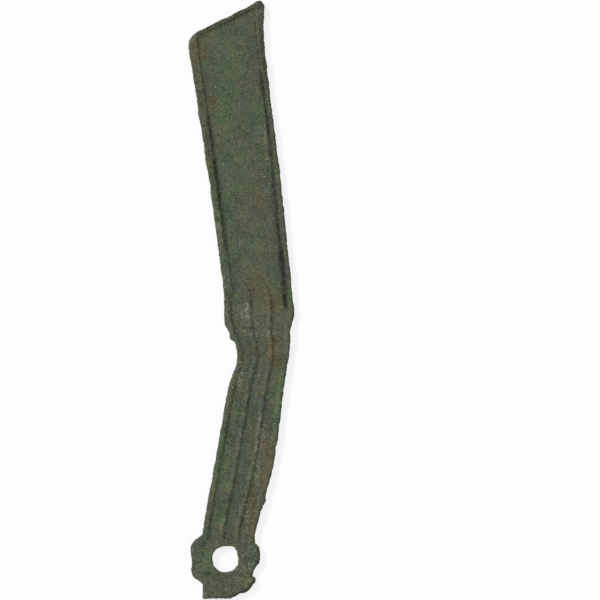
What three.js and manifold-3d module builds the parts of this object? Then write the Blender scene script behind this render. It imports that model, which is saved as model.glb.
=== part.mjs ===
// Bronze knife money: one flat casting with a curved blade, a ribbed handle, a ring and the
// stump of the casting gate. It lies on its inscribed face. X runs from edge to back, Y from
// ring to tip, Z is the thickness. All sizes are in millimetres.
import * as THREE from "three";
import { mergeVertices } from "three/addons/utils/BufferGeometryUtils.js";
import Module from "manifold-3d";

const wasm = await Module();
wasm.setup();

// Thickness
const rimThickness = 1.7; // over the raised rims of both faces
const reliefDepth = 0.35; // from a rim's flat land down to the field, on each face
const draftWidth = 0.3; // sideways slope of a rim's inner wall
const edgeRound = 0.35; // rounding of the outside edge, both ways

// Heights above the ring's centre
const cornerHeight = 121.9; // blunt corner where the oblique tip meets the edge
const tipDrop = 7.7; // from the sharp point down to the blunt corner
const tipHeight = cornerHeight + tipDrop; // sharp point at the end of the back
const shoulderHeight = 56.4; // widest point of the back, where blade becomes handle
const neckHeight = 48.4; // middle of the notch below the blade's edge
const handleTopHeight = 39.6; // where the handle is again at its full width
const handleFootHeight = 6.4; // where the handle runs into the ring

// Widths and leans
const cornerRound = 2.6;
const tipWidth = 17.5;
const shoulderWidth = 16.1;
const neckWidth = 12.5;
const handleTopWidth = 12.9;
const handleFootWidth = 12.3;
const tipBackX = 9.0; // the back's X at its tip
const shoulderBackX = 15.9; // the back's X at the shoulder
const handleFootX = 0.85; // the handle's middle at its foot
const backBow = 0.35; // how far the back bulges off a straight line
const edgeHollow = 0.45; // how far the cutting edge draws in off a straight line

// Rims and ribs
const backRimWidth = 1.9;
const edgeRimWidth = 1.9;
const tipRimWidth = 0.9;
const handleRimWidth = 1.15;
const ribWidth = 0.75;
const ribCount = 2; // lengthwise ribs between the handle's rims
const ribRunUp = 5.5; // how far the ribs run on above the shoulder
const ringLand = 1.2; // flat land between the handle's channels and the ring's hole

// Ring and gate stump
const ringRadius = 7.6;
const ringShift = -0.3; // the ring is cast a little to the edge side of its hole
const ringLump = 0.5; // height of the cast lumps on the ring's outside
const holeRadius = 3.15;
const holeSides = 14; // the hole was broken out of the mould a little angular
const gateWidth = 5.6;
const gateDepth = 9.3; // from the ring's centre down to the broken foot
const gateX = -2.5;

const blade = { colour: 0x66715a, roughness: 0.72, metalness: 0.35 };
const handle = { colour: 0x6d7562, roughness: 0.74, metalness: 0.35 };
const ring = { colour: 0x66705b, roughness: 0.76, metalness: 0.35 };
const gate = { colour: 0x5d6350, roughness: 0.8, metalness: 0.3 };

const up = (x, y) => new THREE.Vector2(x, y);

// The two long sides as smooth curves, each listed from the tip down to the handle's foot.
const bladeMiddle = (cornerHeight + shoulderHeight) / 2;
const shoulderMiddleBack = (tipBackX + shoulderBackX) / 2;
const shoulderEdgeX = shoulderBackX - shoulderWidth;
const tipEdgeX = tipBackX - tipWidth;
const neckBackX = shoulderBackX - 0.9;
const handleTopX = shoulderBackX - 8.75;
const shoulderDrop = shoulderHeight - neckHeight;

const backCurve = new THREE.SplineCurve([
  up(tipBackX, tipHeight - 2.5),
  up(tipBackX + 0.35, cornerHeight - 4.3),
  up(shoulderMiddleBack + backBow, bladeMiddle),
  up(shoulderBackX - 0.55, shoulderHeight + 8),
  up(shoulderBackX, shoulderHeight + 1),
  up(shoulderBackX - 0.7, shoulderHeight - shoulderDrop / 3),
  up(neckBackX, neckHeight),
  up(handleTopX + handleTopWidth / 2, handleTopHeight),
  up((handleTopX + handleFootX + handleTopWidth) / 2 + 0.95, (handleTopHeight + handleFootHeight) / 2),
  up(handleFootX + handleFootWidth / 2, handleFootHeight),
]);
const edgeCurve = new THREE.SplineCurve([
  up(tipEdgeX - 0.05, cornerHeight - cornerRound),
  up(tipEdgeX + 1.5, cornerHeight - 12.3),
  up((tipEdgeX + shoulderEdgeX) / 2 + edgeHollow, bladeMiddle),
  up(shoulderEdgeX - 0.35, shoulderHeight + 8),
  up(shoulderEdgeX + 0.1, shoulderHeight),
  up(shoulderEdgeX + 1.3, shoulderHeight - shoulderDrop / 2),
  up(neckBackX - neckWidth + 0.3, neckHeight),
  up(neckBackX - neckWidth - 0.2, neckHeight - 4),
  up(handleTopX - handleTopWidth / 2, handleTopHeight),
  up((handleTopX + handleFootX - handleTopWidth) / 2 + 0.15, (handleTopHeight + handleFootHeight) / 2),
  up(handleFootX - handleFootWidth / 2, handleFootHeight),
]);

const sideSteps = 64;
const backPoints = backCurve.getSpacedPoints(sideSteps);
const edgePoints = edgeCurve.getSpacedPoints(sideSteps);

// X of a long side at a height, read along its sampled points from the tip down.
function sideAt(points, y) {
  const last = points.length - 1;
  if (y >= points[0].y) return points[0].x;
  if (y <= points[last].y) return points[last].x;
  const below = points.findIndex((p) => p.y <= y);
  const a = points[below - 1];
  const b = points[below];
  return a.x + ((b.x - a.x) * (a.y - y)) / (a.y - b.y);
}

// Height of the oblique tip above a given X. The sharp point itself is blunted by tipBlunt.
const tipBlunt = 1.0;
const tipSlope = (tipHeight + tipBlunt - cornerHeight) / tipWidth;
const tipLineAt = (x) => tipHeight + tipBlunt - (tipBackX - x) * tipSlope;

// The outline of blade and handle, closed inside the ring.
function knifeShape() {
  const shape = new THREE.Shape();
  shape.moveTo(tipBackX - 0.9, tipHeight + 0.3);
  shape.lineTo(tipBackX - 2.6, tipLineAt(tipBackX - 2.6));
  const roundStart = tipEdgeX + cornerRound;
  shape.lineTo(roundStart, tipLineAt(roundStart));
  shape.quadraticCurveTo(tipEdgeX - 0.15, tipLineAt(tipEdgeX + 0.4), edgePoints[0].x, edgePoints[0].y);
  edgePoints.slice(1).forEach((p) => shape.lineTo(p.x, p.y));
  shape.lineTo(handleFootX - handleFootWidth / 2 + 1, 0);
  shape.lineTo(handleFootX + handleFootWidth / 2 - 1, 0);
  [...backPoints].reverse().forEach((p) => shape.lineTo(p.x, p.y));
  shape.lineTo(tipBackX - 0.1, tipHeight - 0.5);
  return shape;
}

// The ring's outside: a circle with a few low lumps left by the mould.
function ringShape() {
  const steps = 60;
  const shape = new THREE.Shape();
  for (let i = 0; i < steps; i += 1) {
    const turn = (i / steps) * Math.PI * 2;
    const lumps = Math.sin(turn * 3 + 0.6) * 0.5 + Math.sin(turn * 7 + 1.1) * 0.5;
    const radius = ringRadius + ringLump * lumps;
    const point = [Math.cos(turn) * radius + ringShift, Math.sin(turn) * radius];
    if (i === 0) shape.moveTo(...point);
    else shape.lineTo(...point);
  }
  shape.closePath();
  return shape;
}

// The gate's stump: a straight left side, a broken foot, and a slope back up to the ring.
function gateShape() {
  const left = gateX - gateWidth / 2;
  const foot = -gateDepth;
  const shape = new THREE.Shape();
  shape.moveTo(left, foot + 0.3);
  shape.lineTo(left + 0.5, foot);
  shape.lineTo(left + 3.4, foot + 0.3);
  shape.lineTo(left + gateWidth + 2.1, foot + 1.2);
  shape.lineTo(left + gateWidth + 4.5, foot + 2.6);
  shape.lineTo(left + gateWidth + 5.9, foot + 4.5);
  shape.lineTo(left + gateWidth + 4.9, foot + 6);
  shape.lineTo(left + 0.3, foot + 6);
  shape.closePath();
  return shape;
}

function holeShape() {
  const shape = new THREE.Shape();
  for (let i = 0; i < holeSides; i += 1) {
    const turn = (i / holeSides) * Math.PI * 2;
    const notch = i === 2 ? 0.55 : 0;
    const point = [Math.cos(turn) * (holeRadius + notch), Math.sin(turn) * (holeRadius + notch)];
    if (i === 0) shape.moveTo(...point);
    else shape.lineTo(...point);
  }
  shape.closePath();
  return shape;
}

// A strip along the casting: walls gives the two sides' X at a height.
function stripShape(low, high, walls, topTilt = () => 0) {
  const steps = Math.max(6, Math.ceil((high - low) / 3));
  const shape = new THREE.Shape();
  const heights = Array.from({ length: steps + 1 }, (_, i) => low + ((high - low) * i) / steps);
  heights.forEach((y, i) => {
    const x = walls(y)[1];
    if (i === 0) shape.moveTo(x, y);
    else shape.lineTo(x, y + (i === steps ? topTilt(x) : 0));
  });
  [...heights].reverse().forEach((y, i) => {
    const x = walls(y)[0];
    shape.lineTo(x, y + (i === 0 ? topTilt(x) : 0));
  });
  shape.closePath();
  return shape;
}

function solidOf(geometry) {
  const bare = geometry.clone();
  bare.deleteAttribute("normal");
  bare.deleteAttribute("uv");
  const merged = mergeVertices(bare, 1e-4);
  return new wasm.Manifold(
    new wasm.Mesh({
      numProp: 3,
      vertProperties: new Float32Array(merged.attributes.position.array),
      triVerts: new Uint32Array(merged.index.array),
    }),
  );
}

// A slab of the full thickness with its outside edge rounded over.
function roundedSlab(shape) {
  const geometry = new THREE.ExtrudeGeometry(shape, {
    depth: rimThickness - 2 * edgeRound,
    bevelEnabled: true,
    bevelThickness: edgeRound,
    bevelSize: edgeRound,
    bevelOffset: -edgeRound,
    bevelSegments: 2,
    curveSegments: 8,
  });
  return solidOf(geometry.translate(0, 0, edgeRound));
}

// A sunk panel, cut into both faces, whose walls slope in by the draft.
function sunkPanels(shape) {
  const spare = 0.5;
  const geometry = new THREE.ExtrudeGeometry(shape, {
    depth: spare,
    bevelEnabled: true,
    bevelThickness: reliefDepth,
    bevelSize: draftWidth,
    bevelOffset: -draftWidth,
    bevelSegments: 1,
    curveSegments: 8,
  });
  const upper = solidOf(geometry.clone().translate(0, 0, rimThickness));
  const turned = geometry.clone().scale(1, 1, -1);
  const flipped = turned.index ? turned.toNonIndexed() : turned;
  const place = flipped.attributes.position;
  for (let i = 0; i < place.count; i += 3) {
    const b = [place.getX(i + 1), place.getY(i + 1), place.getZ(i + 1)];
    place.setXYZ(i + 1, place.getX(i + 2), place.getY(i + 2), place.getZ(i + 2));
    place.setXYZ(i + 2, ...b);
  }
  return upper.add(solidOf(flipped));
}

function straightThrough(shape) {
  const geometry = new THREE.ExtrudeGeometry(shape, { depth: rimThickness + 2, bevelEnabled: false });
  return solidOf(geometry.translate(0, 0, -1));
}

function block(low, high) {
  const span = 80;
  const geometry = new THREE.BoxGeometry(span, high - low, 10);
  return solidOf(geometry.translate(0, (low + high) / 2, 0));
}

// The sunk field of the blade, inside its back, tip and edge rims.
function bladePanel() {
  const top = cornerHeight - 2.2;
  const walls = (y) => [
    sideAt(edgePoints, y) + edgeRimWidth,
    sideAt(backPoints, y) - backRimWidth,
  ];
  const tilt = (x) => tipLineAt(x) - tipRimWidth - top;
  return stripShape(shoulderHeight + ribRunUp - 1, top, walls, tilt);
}

// The sunk channels between the handle's rims and ribs.
function handleChannels() {
  const channels = ribCount + 1;
  return Array.from({ length: channels }, (_, i) => {
    const walls = (y) => {
      const left = sideAt(edgePoints, y) + handleRimWidth;
      const right = sideAt(backPoints, y) - handleRimWidth;
      const pitch = (right - left + ribWidth) / channels;
      const start = left + pitch * i;
      return [start, start + pitch - ribWidth];
    };
    return stripShape(holeRadius + ringLand, shoulderHeight + ribRunUp, walls);
  });
}

function build() {
  let whole = roundedSlab(knifeShape()).add(roundedSlab(ringShape())).add(roundedSlab(gateShape()));
  whole = whole.subtract(sunkPanels(bladePanel()));
  handleChannels().forEach((shape) => {
    whole = whole.subtract(sunkPanels(shape));
  });
  whole = whole.subtract(straightThrough(holeShape()));
  const far = 400;
  const gateTop = -ringRadius + 1;
  const cuts = [
    ["gate_stub", -far, gateTop, gate],
    ["ring", gateTop, handleFootHeight, ring],
    ["handle", handleFootHeight, shoulderHeight, handle],
    ["blade", shoulderHeight, far, blade],
  ];
  const box = whole.boundingBox();
  const group = new THREE.Group();
  group.name = "knife_money";
  cuts.forEach(([name, low, high, finish]) => {
    const solid = whole.intersect(block(low, high)).getMesh();
    const geometry = new THREE.BufferGeometry();
    geometry.setAttribute("position", new THREE.BufferAttribute(solid.vertProperties, 3));
    geometry.setIndex(new THREE.BufferAttribute(solid.triVerts, 1));
    const material = new THREE.MeshStandardMaterial({
      color: finish.colour,
      roughness: finish.roughness,
      metalness: finish.metalness,
    });
    const mesh = new THREE.Mesh(geometry, material);
    mesh.name = name;
    group.add(mesh);
  });
  group.position.set(-(box.min[0] + box.max[0]) / 2, -(box.min[1] + box.max[1]) / 2, 0);
  return group;
}

const group = build();
export default group;
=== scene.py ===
"""Cast bronze knife money with an old patina, lying with its plain face up on a pale table."""

import math

import bmesh
import bpy
import numpy as np
from mathutils import Matrix, Vector, noise


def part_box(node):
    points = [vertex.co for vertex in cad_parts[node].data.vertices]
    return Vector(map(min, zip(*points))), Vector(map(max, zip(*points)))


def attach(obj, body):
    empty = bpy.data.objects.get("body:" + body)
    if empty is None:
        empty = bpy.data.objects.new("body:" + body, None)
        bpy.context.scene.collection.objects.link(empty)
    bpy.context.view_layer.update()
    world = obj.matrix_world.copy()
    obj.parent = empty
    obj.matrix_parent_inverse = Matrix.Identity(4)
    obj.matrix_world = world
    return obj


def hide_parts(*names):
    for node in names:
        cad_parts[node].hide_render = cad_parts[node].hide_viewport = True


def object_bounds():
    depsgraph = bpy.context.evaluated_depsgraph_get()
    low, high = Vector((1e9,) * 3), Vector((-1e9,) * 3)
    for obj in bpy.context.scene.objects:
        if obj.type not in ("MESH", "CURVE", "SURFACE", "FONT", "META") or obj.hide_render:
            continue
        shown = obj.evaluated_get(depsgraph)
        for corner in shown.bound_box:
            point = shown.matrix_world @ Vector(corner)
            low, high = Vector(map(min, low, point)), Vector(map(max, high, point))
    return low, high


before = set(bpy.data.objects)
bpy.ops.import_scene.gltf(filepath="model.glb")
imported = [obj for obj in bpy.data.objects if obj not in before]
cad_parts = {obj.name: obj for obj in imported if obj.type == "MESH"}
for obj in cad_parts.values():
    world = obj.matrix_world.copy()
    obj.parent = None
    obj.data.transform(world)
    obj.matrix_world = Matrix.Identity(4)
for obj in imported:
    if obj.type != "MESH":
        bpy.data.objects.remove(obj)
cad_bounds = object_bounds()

bl_info = {
    "name": "Knife Money",
    "version": (1, 0, 0),
    "blender": (4, 5, 0),
    "location": "View3D > Sidebar > Knife Money",
    "description": "Builds an old cast bronze knife coin, its patina and its table",
    "category": "Add Mesh",
}

MM = 0.001
PICTURE = 600  # pixels along each side of the picture
PICTURE_SPAN = 140.0  # millimetres that the picture covers
PIXEL = PICTURE_SPAN / PICTURE  # millimetres to a pixel of the picture
BOX_MIDDLE = (241.0, 300.5)  # pixel at the middle of the plain view's outline
MIDDLE_Z = cad_bounds[1][2] / MM / 2  # height in millimetres of the plane between the two faces

# The casting's regions from the foot to the tip, each with its material slot.
REGION_SLOTS = {
    "gate_stub": "gate_bronze",
    "ring": "ring_bronze",
    "handle": "handle_bronze",
    "blade": "blade_bronze",
}
REGIONS = tuple(REGION_SLOTS)


def at(px, py):
    """Millimetres on the coin for a pixel of the picture's plain view."""
    return (px - BOX_MIDDLE[0]) * PIXEL, (BOX_MIDDLE[1] - py) * PIXEL


def srgb(red, green, blue):
    """A linear colour from 0 to 255 display values."""
    def linear(v):
        v = v / 255.0
        return v / 12.92 if v <= 0.04045 else ((v + 0.055) / 1.055) ** 2.4
    return (linear(red), linear(green), linear(blue), 1.0)


class KnifeFinish(bpy.types.PropertyGroup):
    """Sizes and colours of the casting's worn surface."""

    grain: bpy.props.FloatProperty(
        name="Surface grain", description="Size of the skin's facets in millimetres",
        default=0.21, min=0.15, max=1.0)
    swell: bpy.props.FloatProperty(
        name="Swell", description="Height of the broad unevenness in millimetres",
        default=0.07, min=0.0, max=0.3)
    pitting: bpy.props.FloatProperty(
        name="Pitting", description="Depth of the corrosion pits in millimetres",
        default=0.11, min=0.0, max=0.3)
    ragged: bpy.props.FloatProperty(
        name="Ragged edge", description="How far the outline wanders in millimetres",
        default=0.24, min=0.0, max=0.6)
    patina: bpy.props.FloatVectorProperty(
        name="Patina", description="Main colour of the plain face", subtype="COLOR", size=4,
        default=srgb(81, 85, 66), min=0.0, max=1.0)
    patina_dark: bpy.props.FloatVectorProperty(
        name="Dark patina", description="Main colour of the marked face", subtype="COLOR", size=4,
        default=srgb(72, 74, 61), min=0.0, max=1.0)
    green: bpy.props.FloatVectorProperty(
        name="Green", description="Malachite green of the brighter patches", subtype="COLOR", size=4,
        default=srgb(74, 98, 64), min=0.0, max=1.0)
    brown: bpy.props.FloatVectorProperty(
        name="Brown", description="Olive brown of the bare patches", subtype="COLOR", size=4,
        default=srgb(92, 80, 50), min=0.0, max=1.0)
    # Also the colour of the rub and painted highlight on crests.
    crust_and_highlight: bpy.props.FloatVectorProperty(
        name="Crust", description="Pale mineral crust", subtype="COLOR", size=4,
        default=srgb(146, 142, 120), min=0.0, max=1.0)
    slate: bpy.props.FloatVectorProperty(
        name="Slate", description="Blue grey of the tin-rich patches", subtype="COLOR", size=4,
        default=srgb(70, 80, 74), min=0.0, max=1.0)
    # Colour of the painted shade and dirt in hollows, on the sides and along the rims.
    shade_and_dirt: bpy.props.FloatVectorProperty(
        name="Groove", description="Dirt in the grooves", subtype="COLOR", size=4,
        default=srgb(30, 30, 24), min=0.0, max=1.0)


class KnifeStage(bpy.types.PropertyGroup):
    """Camera distance and light level."""

    camera_height: bpy.props.FloatProperty(
        name="Camera height", description="Height of the lens over the coin",
        default=1.2, min=0.3, max=5.0, subtype="DISTANCE", unit="LENGTH")
    key_level: bpy.props.FloatProperty(
        name="Key light", description="Strength of the soft key light", default=2.6, min=0.0, max=10.0)
    world_level: bpy.props.FloatProperty(
        name="Room light", description="Strength of the even room light", default=0.5, min=0.0, max=3.0)


# Casting

# Ridges and hollows that are too fine for the frame, as strokes along pixel pairs of the plain
# view: from, to, half width in millimetres, height in millimetres, faces (up or both).
STROKES = (
    ((229, 228), (235, 300), 0.30, 0.07, "up"),
    ((252, 268), (246, 345), 0.45, 0.07, "both"),
    ((267, 282), (263, 350), 0.45, 0.07, "both"),
    ((238, 330), (262, 324), 0.55, 0.10, "up"),
    ((262, 338), (282, 336), 0.60, 0.09, "up"),
    ((212, 108), (226, 104), 0.50, 0.04, "up"),
    ((261, 70), (272, 165), 0.45, -0.13, "up"),
    ((270, 150), (283, 275), 0.42, -0.15, "up"),
    ((281, 245), (286, 310), 0.50, -0.20, "up"),
    ((206, 105), (217, 180), 0.38, -0.10, "up"),
    ((214, 160), (228, 262), 0.38, -0.13, "up"),
    ((228, 392), (209, 500), 0.22, -0.12, "both"),
    ((255, 22), (262, 96), 0.22, -0.10, "up"),
)
STROKE_DRIFT = 0.25  # millimetres that a stroke's line wanders, times the middle bumps
STROKE_SHADE_AND_DIRT = 0.35  # painted shade and dirt that a sunk stroke adds, to a millimetre of its depth
END_FADE = 0.4  # power with which a stroke or a line of painted shade and dirt fades towards its ends

# Painted shade and dirt as dark lines along the rims: from, to, half width in millimetres, darkness.
RIM_SHADE_AND_DIRT = (
    ((192, 36), (256, 4), 0.55, 0.95),
    ((256, 4), (262, 4), 0.70, 0.80),
    ((259, 12), (267, 96), 0.50, 0.75),
    ((267, 96), (282, 250), 0.35, 0.45),
    ((204, 118), (214, 190), 0.45, 0.50),
    ((214, 190), (226, 330), 0.40, 0.45),
    ((190, 48), (203, 118), 0.35, 0.35),
    ((226, 396), (204, 530), 0.35, 0.50),
    ((284, 396), (257, 520), 0.35, 0.25),
    ((230, 340), (236, 372), 0.60, 0.40),
)
RIM_SHADE_AND_DIRT_DRIFT = 0.3  # millimetres that a line of painted shade and dirt wanders, times the middle bumps
RIM_SHADE_AND_DIRT_CLOUDS = (0.75, 0.9)  # a line's darkness: its level, and the middle bumps' share

# Knobs and nicks of the outline: pixel, reach in millimetres, outward move in millimetres.
KNOBS = (
    ((258, 3), 1.3, 0.35), ((264, 8), 0.8, 0.2), ((201, 113), 0.7, 0.22), ((207, 152), 0.8, 0.25),
    ((206, 161), 0.8, 0.2), ((209, 186), 1.0, -0.25), ((225, 325), 1.6, 0.3), ((231, 338), 0.8, 0.35),
    ((234, 343), 0.8, -0.3), ((193, 545), 1.5, 0.35), ((191, 566), 1.6, 0.6), ((256, 548), 2.0, 0.75),
    ((257, 562), 1.6, 0.4), ((253, 580), 1.6, 0.75), ((246, 588), 1.8, 0.85), ((230, 596), 2.4, 0.7),
    ((274, 447), 0.8, -0.3), ((262, 500), 0.8, 0.45), ((260, 512), 0.7, -0.2), ((196, 575), 1.4, 0.5),
    ((293, 314), 1.4, 0.3), ((238, 547), 0.7, 0.3),
)

# Bumps of the skin: waves to a millimetre along X, Y and Z, and a shift of the noise.
BROAD_BUMPS = ((0.35, 0.35, 0.6), (0, 0, 0))
MIDDLE_BUMPS = ((1.1, 1.1, 1.1), (9, 0, 0))
FINE_BUMPS = ((2.7, 2.7, 2.7), (0, 5, 0))
OUTLINE_BUMPS = ((0.5, 0.5, 0.0), (0, 0, 3))

SWELL_MIDDLE = 0.7  # height of the middle bumps, as a share of the swell
PITTING_FINE = 0.35  # height of the fine bumps, as a share of the pits' depth
PIT_MIDDLE = 0.6  # how far the middle bumps say where pits are, against the fine ones
PIT_START = 0.42  # noise above which a pit sinks
PIT_GAIN = 1.6  # how fast it sinks above that
RAGGED_BROAD = 0.6  # share of the outline's bumps in the ragged edge
RAGGED_FINE = 0.8  # share of the fine bumps in it
CREST_GAIN = 14  # crest to a millimetre of outward curvature
CREST_LOSS = 0.22  # millimetres that a full crest is worn down
CREST_CLOUDS = (0.45, 1.2)  # how far crests are worn: its level, and the middle bumps' share
HOLLOW_GAIN = 26  # painted shade and dirt in a hollow, to a millimetre of inward curvature
SIDE_SHADE = 0.45  # painted shade on the casting's sides
FACE_START = 0.5  # a point counts as on a face where its normal's Z is over this
FACE_GAIN = 3  # how fast it does above that

SEAM = 1e-3  # millimetres within which the regions' corners are one
SMOOTH_ROUNDS = 5
CURVATURE_ROUNDS = 4


def joined_castings():
    """One bmesh in millimetres of all the regions, open where they meet, and the meeting planes."""
    whole = bmesh.new()
    for name in REGIONS:
        whole.from_mesh(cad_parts[name].data)
    bmesh.ops.scale(whole, vec=(1 / MM,) * 3, verts=whole.verts)
    bmesh.ops.remove_doubles(whole, verts=whole.verts, dist=SEAM)
    planes = [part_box(name)[1][1] / MM for name in REGIONS[:-1]]
    inner = [f for f in whole.faces
             if any(all(abs(v.co.y - p) < 2 * SEAM for v in f.verts) for p in planes)]
    bmesh.ops.delete(whole, geom=inner, context="FACES")
    return whole, planes


def even_skin(whole, grain):
    """The same body with an even skin of small facets."""
    rough = bpy.data.meshes.new("rough_skin")
    whole.to_mesh(rough)
    holder = bpy.data.objects.new("rough_skin", rough)
    bpy.context.scene.collection.objects.link(holder)
    remesh = holder.modifiers.new("even", "REMESH")
    remesh.mode = "VOXEL"
    remesh.voxel_size = grain
    smooth = holder.modifiers.new("soften", "SMOOTH")
    smooth.factor = 0.5
    smooth.iterations = SMOOTH_ROUNDS
    graph = bpy.context.evaluated_depsgraph_get()
    skin = bpy.data.meshes.new_from_object(holder.evaluated_get(graph))
    bpy.data.objects.remove(holder)
    bpy.data.meshes.remove(rough)
    return skin


def skin_arrays(skin):
    """The skin's points, its normals, and the two points of each edge."""
    points = np.empty(len(skin.vertices) * 3)
    skin.vertices.foreach_get("co", points)
    normals = np.empty(len(skin.vertices) * 3)
    skin.vertex_normals.foreach_get("vector", normals)
    pairs = np.empty(len(skin.edges) * 2, dtype=np.int64)
    skin.edges.foreach_get("vertices", pairs)
    return points.reshape(-1, 3), normals.reshape(-1, 3), pairs.reshape(-1, 2)


def curvature(points, normals, pairs):
    """How hollow the skin is at each point, over a few facets."""
    count = np.bincount(pairs.ravel(), minlength=len(points)).astype(float)

    def spread(values):
        total = np.zeros_like(values)
        np.add.at(total, pairs[:, 0], values[pairs[:, 1]])
        np.add.at(total, pairs[:, 1], values[pairs[:, 0]])
        return total / (count if values.ndim == 1 else count[:, None])

    hollow = ((spread(points) - points) * normals).sum(1)
    for _ in range(CURVATURE_ROUNDS):
        hollow = 0.5 * hollow + 0.5 * spread(hollow)
    return hollow


def bumps(points, waves, shift):
    """Noise at each point."""
    return np.array([noise.noise(Vector(place)) for place in points * waves + shift])


def clouds(middle, level, share):
    """A level that the middle bumps raise and lower."""
    return level + share * middle


def stroke_share(flat, start, end, width, drift):
    """How strongly each point feels a stroke: fully on its line, less across it and near its ends."""
    a = np.array(at(*start))
    b = np.array(at(*end))
    along = np.clip(((flat - a) @ (b - a)) / ((b - a) @ (b - a)), 0, 1)
    reach = np.linalg.norm(flat - a - along[:, None] * (b - a), axis=1) + drift
    return (4 * along * (1 - along)) ** END_FADE * np.exp(-(reach / width) ** 2)


def weather(skin, finish):
    """Moves the skin by swell, pits, strokes and knobs, and keeps as attributes the hollows, which carry
    painted shade and dirt, and the crests, which carry a rub and a painted highlight.
    """
    points, normals, pairs = skin_arrays(skin)
    flat = points[:, :2]
    side = 1.0 - np.abs(normals[:, 2])
    on_face = np.clip((np.abs(normals[:, 2]) - FACE_START) * FACE_GAIN, 0, 1)
    middle = bumps(points, *MIDDLE_BUMPS)
    fine = bumps(points, *FINE_BUMPS)
    hollow = curvature(points, normals, pairs)
    crest = np.clip(-hollow * CREST_GAIN, 0, 1)

    move = finish.swell * (bumps(points, *BROAD_BUMPS) + SWELL_MIDDLE * middle)
    move += PITTING_FINE * finish.pitting * fine
    move -= PIT_GAIN * finish.pitting * np.maximum(0.0, PIT_MIDDLE * middle + fine - PIT_START)
    wander = RAGGED_BROAD * bumps(points, *OUTLINE_BUMPS) + RAGGED_FINE * fine
    move += side * finish.ragged * wander
    move -= CREST_LOSS * crest * np.clip(clouds(middle, *CREST_CLOUDS), 0, 1)
    for start, end, width, height, faces in STROKES:
        lift = height * on_face * stroke_share(flat, start, end, width, STROKE_DRIFT * middle)
        if faces == "up":
            lift *= points[:, 2] > MIDDLE_Z
        move += lift
        # A sunk stroke adds painted shade and dirt.
        if height < 0:
            hollow += STROKE_SHADE_AND_DIRT * np.abs(lift)
    for place, reach, push in KNOBS:
        away = np.linalg.norm(flat - at(*place), axis=1)
        move += push * side * np.exp(-(away / reach) ** 2)

    # Painted shade and dirt in the hollows, and painted shade on the casting's sides.
    hollow = np.maximum(hollow * HOLLOW_GAIN, SIDE_SHADE * side * (1 + middle))
    # Painted shade and dirt in dark lines along the rims.
    for start, end, width, darkness in RIM_SHADE_AND_DIRT:
        rim_shade_and_dirt = darkness * stroke_share(flat, start, end, width, RIM_SHADE_AND_DIRT_DRIFT * middle)
        hollow = np.maximum(hollow, rim_shade_and_dirt * clouds(middle, *RIM_SHADE_AND_DIRT_CLOUDS))
    points = points + normals * move[:, None]
    skin.vertices.foreach_set("co", points.ravel())
    # The hollow layer carries painted shade and dirt; the crest layer carries a rub and a painted
    # highlight.
    for name, values in (("hollow", hollow), ("crest", crest)):
        layer = skin.attributes.new(name, "FLOAT", "POINT")
        layer.data.foreach_set("value", np.clip(values, 0, 1))
    skin.update()


def cut_skin(skin, planes):
    """A bmesh of the skin with edges along the regions' planes, which keeps its normals in a layer."""
    whole = bmesh.new()
    whole.from_mesh(skin)
    for plane in planes:
        geometry = whole.verts[:] + whole.edges[:] + whole.faces[:]
        bmesh.ops.bisect_plane(whole, geom=geometry, plane_co=(0, plane, 0), plane_no=(0, 1, 0))
    whole.normal_update()
    kept = whole.verts.layers.float_vector.new("skin_normal")
    for v in whole.verts:
        v[kept] = v.normal
    return whole


def region_piece(whole, name, low, high, material):
    """One region of the skin as a closed piece, shaded as if the skin ran on."""
    part = whole.copy()
    outside = [f for f in part.faces if not low <= f.calc_center_median().y <= high]
    bmesh.ops.delete(part, geom=outside, context="FACES")
    rim = [e for e in part.edges if e.is_boundary]
    bmesh.ops.holes_fill(part, edges=rim, sides=0)
    bmesh.ops.triangulate(part, faces=[f for f in part.faces if len(f.verts) > 4])
    kept = part.verts.layers.float_vector["skin_normal"]
    normals = [tuple(v[kept]) for v in part.verts]
    bmesh.ops.scale(part, vec=(MM,) * 3, verts=part.verts)
    mesh = bpy.data.meshes.new(name)
    part.to_mesh(mesh)
    part.free()
    mesh.shade_smooth()
    mesh.normals_split_custom_set_from_vertices(normals)
    mesh.materials.append(material)
    piece = bpy.data.objects.new(name, mesh)
    bpy.context.scene.collection.objects.link(piece)
    return piece


class KNIFE_OT_casting(bpy.types.Operator):
    """Builds the weathered skin of the casting, region by region"""

    bl_idname = "knife.casting"
    bl_label = "Casting"

    def execute(self, context):
        finish = context.scene.knife_finish
        rough, planes = joined_castings()
        skin = even_skin(rough, finish.grain)
        rough.free()
        weather(skin, finish)
        whole = cut_skin(skin, planes)
        limits = [-math.inf, *planes, math.inf]
        for name, low, high in zip(REGIONS, limits, limits[1:]):
            slot = REGION_SLOTS[name]
            piece = region_piece(whole, name + "_patina", low, high, aged_bronze(slot, finish))
            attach(piece, "root")
            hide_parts(name)
        whole.free()
        return {"FINISHED"}


# Generic mark on the lower face

MARK_MIDDLE = (246, 190)  # pixel of the plain view that lies over the mark
MARK_FIELD_Z = 0.37  # millimetres, a little inside the lower face's field
MARK_PROUD = 0.22  # how far the lines stand out from there
LINE_WIDTH = 0.55
LINE_ROUNDING = 0.3  # rounding of a line's edges, as a share of its width
LOZENGE = (2.4, 4.2)  # half width and half length
BAR_HALF = 2.6
BAR_AWAY = 7.0  # from the lozenge's middle to each bar


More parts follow.
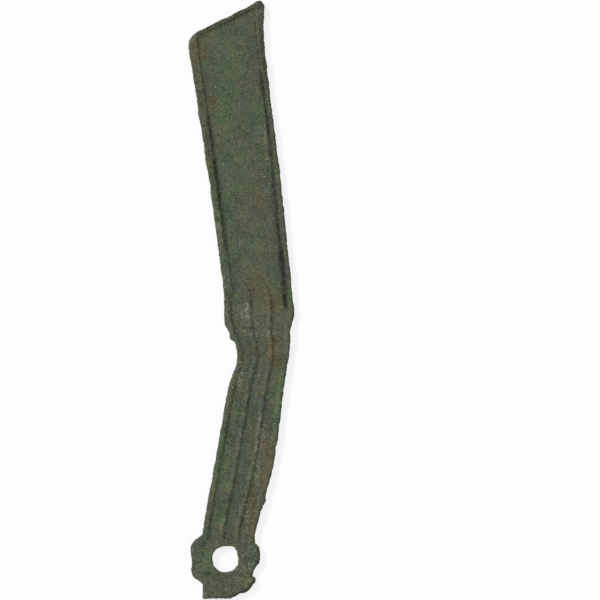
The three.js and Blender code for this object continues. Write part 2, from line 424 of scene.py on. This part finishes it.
def raised_lines(body, points):
    """Raised lines from each point to the next."""
    for a, b in zip(points, points[1:]):
        a = Vector((*a, 0))
        b = Vector((*b, 0))
        made = bmesh.ops.create_cube(body, size=1.0)["verts"]
        sizes = ((b - a).length + LINE_WIDTH, LINE_WIDTH, MARK_PROUD * 2)
        bmesh.ops.scale(body, vec=sizes, verts=made)
        turn = math.atan2(b.y - a.y, b.x - a.x)
        bmesh.ops.rotate(body, verts=made, cent=(0, 0, 0), matrix=Matrix.Rotation(turn, 3, "Z"))
        bmesh.ops.translate(body, vec=(a + b) / 2, verts=made)
        edges = list({e for v in made for e in v.link_edges})
        bmesh.ops.bevel(body, geom=edges, offset=LINE_WIDTH * LINE_ROUNDING, segments=2, profile=0.5,
                        affect="EDGES", material=-1)


class KNIFE_OT_mark(bpy.types.Operator):
    """Builds the plain raised lozenge and bars on the lower face"""

    bl_idname = "knife.mark"
    bl_label = "Mark"

    def execute(self, context):
        finish = context.scene.knife_finish
        body = bmesh.new()
        across, along = LOZENGE
        raised_lines(body, ((-across, 0), (0, along), (across, 0), (0, -along), (-across, 0)))
        for y in (BAR_AWAY, -BAR_AWAY):
            raised_lines(body, ((-BAR_HALF, y), (BAR_HALF, y)))
        bmesh.ops.translate(body, vec=(*at(*MARK_MIDDLE), MARK_FIELD_Z), verts=body.verts)
        bmesh.ops.scale(body, vec=(MM,) * 3, verts=body.verts)
        bmesh.ops.recalc_face_normals(body, faces=body.faces)
        mesh = bpy.data.meshes.new("face_mark")
        body.to_mesh(mesh)
        body.free()
        mesh.shade_smooth()
        # The whole mark counts as crest, so it is rubbed pale with a painted highlight.
        rubbed_and_highlit = mesh.attributes.new("crest", "FLOAT", "POINT")
        rubbed_and_highlit.data.foreach_set("value", np.ones(len(mesh.vertices)))
        mesh.materials.append(aged_bronze("mark_bronze", finish))
        piece = bpy.data.objects.new("face_mark", mesh)
        context.scene.collection.objects.link(piece)
        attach(piece, "root")
        return {"FINISHED"}


# Patina

# Patches of colour: pixel of the plain view, half sizes in millimetres, colour, strength, face.
PATCHES = (
    ((228, 62), (5.0, 9.0), "green", 0.45, "up"), ((226, 110), (3.2, 9.0), "green", 0.55, "up"),
    ((236, 160), (4.0, 6.0), "green", 0.4, "up"), ((228, 215), (3.0, 9.0), "green", 0.5, "up"),
    ((258, 130), (2.5, 8.0), "green", 0.25, "up"), ((198, 52), (2.2, 3.2), "brown", 0.55, "up"),
    ((212, 104), (2.0, 3.0), "brown", 0.4, "up"), ((262, 200), (3.4, 6.5), "brown", 0.35, "up"),
    ((260, 285), (4.5, 5.5), "brown", 0.3, "up"), ((272, 300), (3.0, 5.0), "brown", 0.35, "up"),
    ((262, 432), (1.1, 6.5), "crust_and_highlight", 0.5, "up"), ((257, 470), (0.9, 6.0), "crust_and_highlight", 0.5, "up"),
    ((248, 512), (1.0, 6.5), "crust_and_highlight", 0.4, "up"), ((256, 333), (6.0, 1.2), "crust_and_highlight", 0.35, "up"),
    ((277, 415), (1.1, 9.0), "green", 0.8, "up"), ((266, 468), (1.4, 10.0), "brown", 0.6, "up"),
    ((252, 510), (1.4, 9.0), "brown", 0.6, "up"), ((245, 455), (1.6, 12.0), "slate", 0.6, "up"),
    ((240, 375), (1.4, 4.0), "crust_and_highlight", 0.5, "up"), ((246, 312), (3.2, 2.6), "crust_and_highlight", 0.45, "up"),
    ((274, 350), (2.6, 5.0), "brown", 0.6, "up"), ((219, 235), (1.2, 6.0), "crust_and_highlight", 0.3, "up"),
    ((265, 135), (0.7, 3.0), "crust_and_highlight", 0.6, "up"), ((268, 158), (0.7, 2.0), "crust_and_highlight", 0.6, "up"),
    ((246, 560), (2.0, 3.0), "crust_and_highlight", 0.25, "up"), ((252, 20), (3.0, 3.5), "brown", 0.8, "down"),
    ((232, 345), (2.0, 7.0), "crust_and_highlight", 0.6, "down"), ((226, 430), (1.8, 4.0), "crust_and_highlight", 0.5, "down"),
    ((272, 250), (1.6, 12.0), "green", 0.6, "down"), ((278, 415), (1.4, 9.0), "green", 0.5, "down"),
    ((205, 560), (3.0, 4.0), "brown", 0.35, "down"),
)
PATCH_DEPTH = 0.95  # half size of a patch through the thickness, in millimetres
PATCH_EDGE = (1.15, 0.35)  # shares of a patch's half size where it starts and where it is full
PATCH_WOBBLE = 2.2  # how far noise pushes that edge in and out
CRUST_STEP = (0.38, 0.62)  # fine noise at which a crust patch starts and is full

# Noises of the patina: waves to a metre, detail, roughness and offset.
NOISES = {
    "broad": (120, 5, 0.6, 1.0),
    "middle": (420, 5, 0.6, 2.0),
    "fine": (1500, 4, 0.65, 3.0),
    "tiny": (3800, 2, 0.5, 4.0),
    "slate": (170, 4, 0.6, 5.0),
    "specks": (1900, 1, 0.4, 7.0),
}
# Clouds of a colour over both faces: noise, where they start, where they are full, strength.
CLOUDS = {
    "green": ("broad", 0.5, 0.68, 0.55),
    "brown": ("middle", 0.52, 0.7, 0.4),
    "slate": ("slate", 0.5, 0.62, 0.5),
}
FACE_BLEND = 0.1  # millimetres each way over which the two faces' colours meet

GRIT_GAINS = {"fine": 1.9, "tiny": 3.2, "middle": 1.6}  # how far each noise lightens and darkens
GRIT_OFFSET = -2.36  # brings the shade to about 1 at the noises' middle values
GRIT_DARKEST = 0.12
GRIT_SHARE = 0.95
SPECK_STEP = (0.73, 0.8)
SPECK_SHARE = 0.5
SPECK_COLOUR = (0.5, 0.52, 0.42, 1)
CREST_STEP = (0.42, 0.64)  # fine noise at which a crest starts to be rubbed pale with a painted highlight, and where it is so fully
SHADE_AND_DIRT_FILL = (1.6, 0.1)  # how far painted shade and dirt fill a hollow: the middle noise's share, and its level
ROUGHNESS = (0.3, 0.52)  # the fine noise's share, and its level
BUMP_SHARES = (0.7, 0.35)  # of the fine noise and of the tiny noise
BUMP_DEPTH = 0.35  # millimetres
SHINE = 0.25

MIX_FACTOR, MIX_A, MIX_B, MIX_RESULT = 0, 6, 7, 2  # sockets of a Mix node set to colours


def math_node(tree, kind, a, b=None, c=None, clamp=False):
    """A Math node of two or three inputs, each a socket or a number."""
    node = tree.nodes.new("ShaderNodeMath")
    node.operation = kind
    node.use_clamp = clamp
    for socket, value in zip(node.inputs, (a, b, c)):
        if value is None:
            continue
        if isinstance(value, (int, float)):
            socket.default_value = value
        else:
            tree.links.new(value, socket)
    return node.outputs[0]


def mix_colour(tree, factor, a, b, blend="MIX"):
    """A colour mix, each input a socket or a value."""
    node = tree.nodes.new("ShaderNodeMix")
    node.data_type = "RGBA"
    node.blend_type = blend
    for place, value in ((MIX_FACTOR, factor), (MIX_A, a), (MIX_B, b)):
        if isinstance(value, (int, float, tuple)):
            node.inputs[place].default_value = value
        else:
            tree.links.new(value, node.inputs[place])
    return node.outputs[MIX_RESULT]


def noise_value(tree, vector, scale, detail, rough, offset):
    """A noise value on coordinates in metres."""
    node = tree.nodes.new("ShaderNodeTexNoise")
    node.noise_dimensions = "4D"
    node.inputs["W"].default_value = offset
    node.inputs["Scale"].default_value = scale
    node.inputs["Detail"].default_value = detail
    node.inputs["Roughness"].default_value = rough
    tree.links.new(vector, node.inputs["Vector"])
    return node.outputs[0]


def step_between(tree, value, low, high):
    """A smooth step of a value from low to high."""
    node = tree.nodes.new("ShaderNodeMapRange")
    node.interpolation_type = "SMOOTHSTEP"
    node.inputs["From Min"].default_value = low
    node.inputs["From Max"].default_value = high
    tree.links.new(value, node.inputs["Value"])
    return node.outputs[0]


def vector_node(tree, kind, *inputs):
    """A Vector Math node on one or two sockets."""
    node = tree.nodes.new("ShaderNodeVectorMath")
    node.operation = kind
    for socket, given in zip(node.inputs, inputs):
        tree.links.new(given, socket)
    return node.outputs


def add_sockets(group, way, sockets):
    """Adds a node group's inputs or outputs by name and kind."""
    for name, kind in sockets:
        group.interface.new_socket(name, in_out=way, socket_type="NodeSocket" + kind)


def patch_group():
    """Mask of one wobbly oval patch on a face."""
    group = bpy.data.node_groups.get("oval patch")
    if group:
        return group
    group = bpy.data.node_groups.new("oval patch", "ShaderNodeTree")
    add_sockets(group, "INPUT", (("Vector", "Vector"), ("Centre", "Vector"), ("Size", "Vector"),
                                 ("Wobble", "Float")))
    add_sockets(group, "OUTPUT", (("Mask", "Float"),))
    given = group.nodes.new("NodeGroupInput").outputs
    away = vector_node(group, "SUBTRACT", given["Vector"], given["Centre"])[0]
    share = vector_node(group, "DIVIDE", away, given["Size"])[0]
    length = vector_node(group, "LENGTH", share)["Value"]
    edge = math_node(group, "MULTIPLY_ADD", given["Wobble"], PATCH_WOBBLE, -PATCH_WOBBLE / 2)
    mask = step_between(group, math_node(group, "ADD", length, edge), *PATCH_EDGE)
    out = group.nodes.new("NodeGroupOutput")
    group.links.new(mask, out.inputs["Mask"])
    return group


def clouded(tree, colour, grains, kind, finish):
    """The colour with clouds of one of the finish's colours over it."""
    grain, start, full, strength = CLOUDS[kind]
    share = math_node(tree, "MULTIPLY", step_between(tree, grains[grain], start, full), strength)
    return mix_colour(tree, share, colour, tuple(getattr(finish, kind)))


def ground_colour(tree, vector, grains, finish):
    """The main colour of each face under its green and brown clouds."""
    split = tree.nodes.new("ShaderNodeSeparateXYZ")
    tree.links.new(vector, split.inputs[0])
    upper = step_between(tree, split.outputs["Z"], (MIDDLE_Z - FACE_BLEND) * MM,
                         (MIDDLE_Z + FACE_BLEND) * MM)
    colour = mix_colour(tree, upper, tuple(finish.patina_dark), tuple(finish.patina))
    for kind in ("green", "brown"):
        colour = clouded(tree, colour, grains, kind, finish)
    return colour


def patched(tree, colour, vector, grains, finish):
    """The colour with each face's patches over it, and slate clouds over those."""
    for place, size, kind, strength, face in PATCHES:
        node = tree.nodes.new("ShaderNodeGroup")
        node.node_tree = patch_group()
        x, y = at(*place)
        z = MIDDLE_Z * 2 if face == "up" else 0.0
        node.inputs["Centre"].default_value = (x * MM, y * MM, z * MM)
        node.inputs["Size"].default_value = (size[0] * MM, size[1] * MM, PATCH_DEPTH * MM)
        tree.links.new(vector, node.inputs["Vector"])
        tree.links.new(grains["middle"], node.inputs["Wobble"])
        share = math_node(tree, "MULTIPLY", node.outputs["Mask"], strength)
        if kind == "crust_and_highlight":
            share = math_node(tree, "MULTIPLY", share, step_between(tree, grains["fine"], *CRUST_STEP))
        colour = mix_colour(tree, share, colour, tuple(getattr(finish, kind)))
    return clouded(tree, colour, grains, "slate", finish)


def gritty(tree, colour, grains):
    """The colour made lighter and darker from grain to grain, with pale specks."""
    level = GRIT_OFFSET
    for kind, gain in GRIT_GAINS.items():
        level = math_node(tree, "MULTIPLY_ADD", grains[kind], gain, level)
    level = math_node(tree, "MAXIMUM", level, GRIT_DARKEST)
    shade = tree.nodes.new("ShaderNodeCombineColor")
    for socket in shade.inputs:
        tree.links.new(level, socket)
    colour = mix_colour(tree, GRIT_SHARE, colour, shade.outputs[0], "MULTIPLY")
    specks = math_node(tree, "MULTIPLY", step_between(tree, grains["specks"], *SPECK_STEP), SPECK_SHARE)
    return mix_colour(tree, specks, colour, SPECK_COLOUR)


def worn_with_painted_light(tree, colour, given, grains, finish):
    """The colour rubbed pale with a painted highlight on crests, with painted shade and dirt in the
    hollows.
    """
    # Crests are rubbed pale, partly as a painted highlight on the raised edges.
    rubbed_and_highlit = math_node(tree, "MULTIPLY", given["Crest"], step_between(tree, grains["fine"], *CREST_STEP))
    colour = mix_colour(tree, rubbed_and_highlit, colour, tuple(finish.crust_and_highlight))
    # Painted shade and dirt in the hollows, in clouds.
    shade_and_dirt_amount = math_node(tree, "MULTIPLY_ADD", grains["middle"], *SHADE_AND_DIRT_FILL, clamp=True)
    shade_and_dirt_mask = math_node(tree, "MULTIPLY", given["Hollow"], shade_and_dirt_amount)
    return mix_colour(tree, shade_and_dirt_mask, colour, tuple(finish.shade_and_dirt))


def patina_group(finish):
    """Colour, roughness and height of the patina, on object coordinates in metres."""
    group = bpy.data.node_groups.get("old patina")
    if group:
        return group
    group = bpy.data.node_groups.new("old patina", "ShaderNodeTree")
    add_sockets(group, "INPUT", (("Vector", "Vector"), ("Hollow", "Float"), ("Crest", "Float")))
    add_sockets(group, "OUTPUT", (("Color", "Color"), ("Roughness", "Float"), ("Height", "Float")))
    given = group.nodes.new("NodeGroupInput").outputs
    vector = given["Vector"]
    grains = {name: noise_value(group, vector, *numbers) for name, numbers in NOISES.items()}

    colour = ground_colour(group, vector, grains, finish)
    colour = patched(group, colour, vector, grains, finish)
    colour = gritty(group, colour, grains)
    colour = worn_with_painted_light(group, colour, given, grains, finish)
    rough = math_node(group, "MULTIPLY_ADD", grains["fine"], *ROUGHNESS, clamp=True)
    fine_share, tiny_share = BUMP_SHARES
    height = math_node(group, "ADD", math_node(group, "MULTIPLY", grains["fine"], fine_share),
                       math_node(group, "MULTIPLY", grains["tiny"], tiny_share))

    out = group.nodes.new("NodeGroupOutput")
    group.links.new(colour, out.inputs["Color"])
    group.links.new(rough, out.inputs["Roughness"])
    group.links.new(height, out.inputs["Height"])
    return group


def aged_bronze(name, finish):
    """Old bronze under its patina."""
    material = bpy.data.materials.new(name)
    material.use_nodes = True
    tree = material.node_tree
    shader = tree.nodes["Principled BSDF"]
    shader.inputs["Specular IOR Level"].default_value = SHINE
    place = tree.nodes.new("ShaderNodeTexCoord")
    patina = tree.nodes.new("ShaderNodeGroup")
    patina.node_tree = patina_group(finish)
    tree.links.new(place.outputs["Object"], patina.inputs["Vector"])
    for layer, socket in (("hollow", "Hollow"), ("crest", "Crest")):
        kept = tree.nodes.new("ShaderNodeAttribute")
        kept.attribute_name = layer
        tree.links.new(kept.outputs["Fac"], patina.inputs[socket])
    bump = tree.nodes.new("ShaderNodeBump")
    bump.inputs["Strength"].default_value = 1.0
    bump.inputs["Distance"].default_value = BUMP_DEPTH * MM
    tree.links.new(patina.outputs["Height"], bump.inputs["Height"])
    tree.links.new(patina.outputs["Color"], shader.inputs["Base Color"])
    tree.links.new(patina.outputs["Roughness"], shader.inputs["Roughness"])
    tree.links.new(bump.outputs["Normal"], shader.inputs["Normal"])
    return material


# Stage

WHITE = (1, 1, 1, 1)
TABLE_GREY = (0.9, 0.9, 0.9, 1)
TABLE_WHITE = 0.82  # share of plain white in what the camera sees, the rest keeping the shadow
TABLE_HALF = 3.0  # metres
TABLE_DROP = 0.25  # millimetres below the frame's rest plane, clear of the skin's lowest bumps
SUN_WIDTH = math.radians(12)
SUN_TURN = (math.radians(-28), math.radians(-42), 0)
SENSOR = 36.0  # millimetres
LENS_NEAR = 0.01  # metres


def mix_shader(tree, factor, a, b):
    """A mix of two shaders."""
    node = tree.nodes.new("ShaderNodeMixShader")
    for socket, given in zip(node.inputs, (factor, a, b)):
        tree.links.new(given, socket)
    return node.outputs[0]


def white_table():
    """A white table with a faint shadow, which gives the piece white light and is clear from below."""
    material = bpy.data.materials.new("white_table")
    material.use_nodes = True
    tree = material.node_tree
    tree.nodes.remove(tree.nodes["Principled BSDF"])
    matt = tree.nodes.new("ShaderNodeBsdfDiffuse")
    matt.inputs["Color"].default_value = TABLE_GREY
    lit = tree.nodes.new("ShaderNodeEmission")
    lit.inputs["Color"].default_value = WHITE
    through = tree.nodes.new("ShaderNodeBsdfTransparent")
    path = tree.nodes.new("ShaderNodeLightPath").outputs
    seen = math_node(tree, "MAXIMUM", path["Is Camera Ray"], path["Is Glossy Ray"])
    share = math_node(tree, "MAXIMUM", math_node(tree, "MULTIPLY", seen, TABLE_WHITE),
                      path["Is Diffuse Ray"])
    top = mix_shader(tree, share, matt.outputs[0], lit.outputs[0])
    below = tree.nodes.new("ShaderNodeNewGeometry").outputs["Backfacing"]
    surface = mix_shader(tree, below, top, through.outputs[0])
    tree.links.new(surface, tree.nodes["Material Output"].inputs["Surface"])
    return material


def white_world(level):
    """Even room light, plain white where the camera sees it."""
    world = bpy.data.worlds.new("white_room")
    world.use_nodes = True
    tree = world.node_tree
    even = tree.nodes["Background"]
    even.inputs["Color"].default_value = WHITE
    even.inputs["Strength"].default_value = level
    seen = tree.nodes.new("ShaderNodeBackground")
    seen.inputs["Color"].default_value = WHITE
    path = tree.nodes.new("ShaderNodeLightPath")
    room = mix_shader(tree, path.outputs["Is Camera Ray"], even.outputs[0], seen.outputs[0])
    tree.links.new(room, tree.nodes["World Output"].inputs["Surface"])
    bpy.context.scene.world = world


class KNIFE_OT_stage(bpy.types.Operator):
    """Sets the table, the lights and the camera over the coin"""

    bl_idname = "knife.stage"
    bl_label = "Stage"

    def execute(self, context):
        stage = context.scene.knife_stage
        table = bmesh.new()
        bmesh.ops.create_grid(table, x_segments=1, y_segments=1, size=TABLE_HALF)
        bmesh.ops.translate(table, vec=(0, 0, -TABLE_DROP * MM), verts=table.verts)
        mesh = bpy.data.meshes.new("table")
        table.to_mesh(mesh)
        table.free()
        mesh.materials.append(white_table())
        floor = bpy.data.objects.new("table", mesh)
        context.scene.collection.objects.link(floor)

        sun = bpy.data.lights.new("key", "SUN")
        sun.energy = stage.key_level
        sun.angle = SUN_WIDTH
        key = bpy.data.objects.new("key", sun)
        key.rotation_euler = SUN_TURN
        context.scene.collection.objects.link(key)
        white_world(stage.world_level)

        x, y = at(PICTURE / 2, PICTURE / 2)
        lens = bpy.data.cameras.new("camera")
        lens.sensor_width = SENSOR
        lens.lens = lens.sensor_width * stage.camera_height / (PICTURE_SPAN * MM)
        lens.clip_start = LENS_NEAR
        camera = bpy.data.objects.new("camera", lens)
        camera.location = (x * MM, y * MM, stage.camera_height)
        context.scene.collection.objects.link(camera)
        context.scene.camera = camera
        context.scene.view_settings.view_transform = "Standard"
        return {"FINISHED"}


class KNIFE_PT_panel(bpy.types.Panel):
    """Lists the coin's steps and finish"""

    bl_idname = "KNIFE_PT_panel"
    bl_label = "Knife Money"
    bl_space_type = "VIEW_3D"
    bl_region_type = "UI"
    bl_category = "Knife Money"

    def draw(self, context):
        finish = context.scene.knife_finish
        for name in ("grain", "swell", "pitting", "ragged", "patina", "patina_dark",
                     "green", "brown", "crust_and_highlight", "slate", "shade_and_dirt"):
            self.layout.prop(finish, name)
        for name in ("camera_height", "key_level", "world_level"):
            self.layout.prop(context.scene.knife_stage, name)
        for step in STEPS:
            self.layout.operator(step.bl_idname)


STEPS = (KNIFE_OT_stage, KNIFE_OT_casting, KNIFE_OT_mark)
CLASSES = (KnifeFinish, KnifeStage, *STEPS, KNIFE_PT_panel)


def register():
    for item in CLASSES:
        bpy.utils.register_class(item)
    bpy.types.Scene.knife_finish = bpy.props.PointerProperty(type=KnifeFinish)
    bpy.types.Scene.knife_stage = bpy.props.PointerProperty(type=KnifeStage)


def unregister():
    del bpy.types.Scene.knife_stage
    del bpy.types.Scene.knife_finish
    for item in reversed(CLASSES):
        bpy.utils.unregister_class(item)


def main():
    register()
    bpy.ops.knife.stage()
    bpy.ops.knife.casting()
    bpy.ops.knife.mark()


if __name__ == "__main__":
    main()
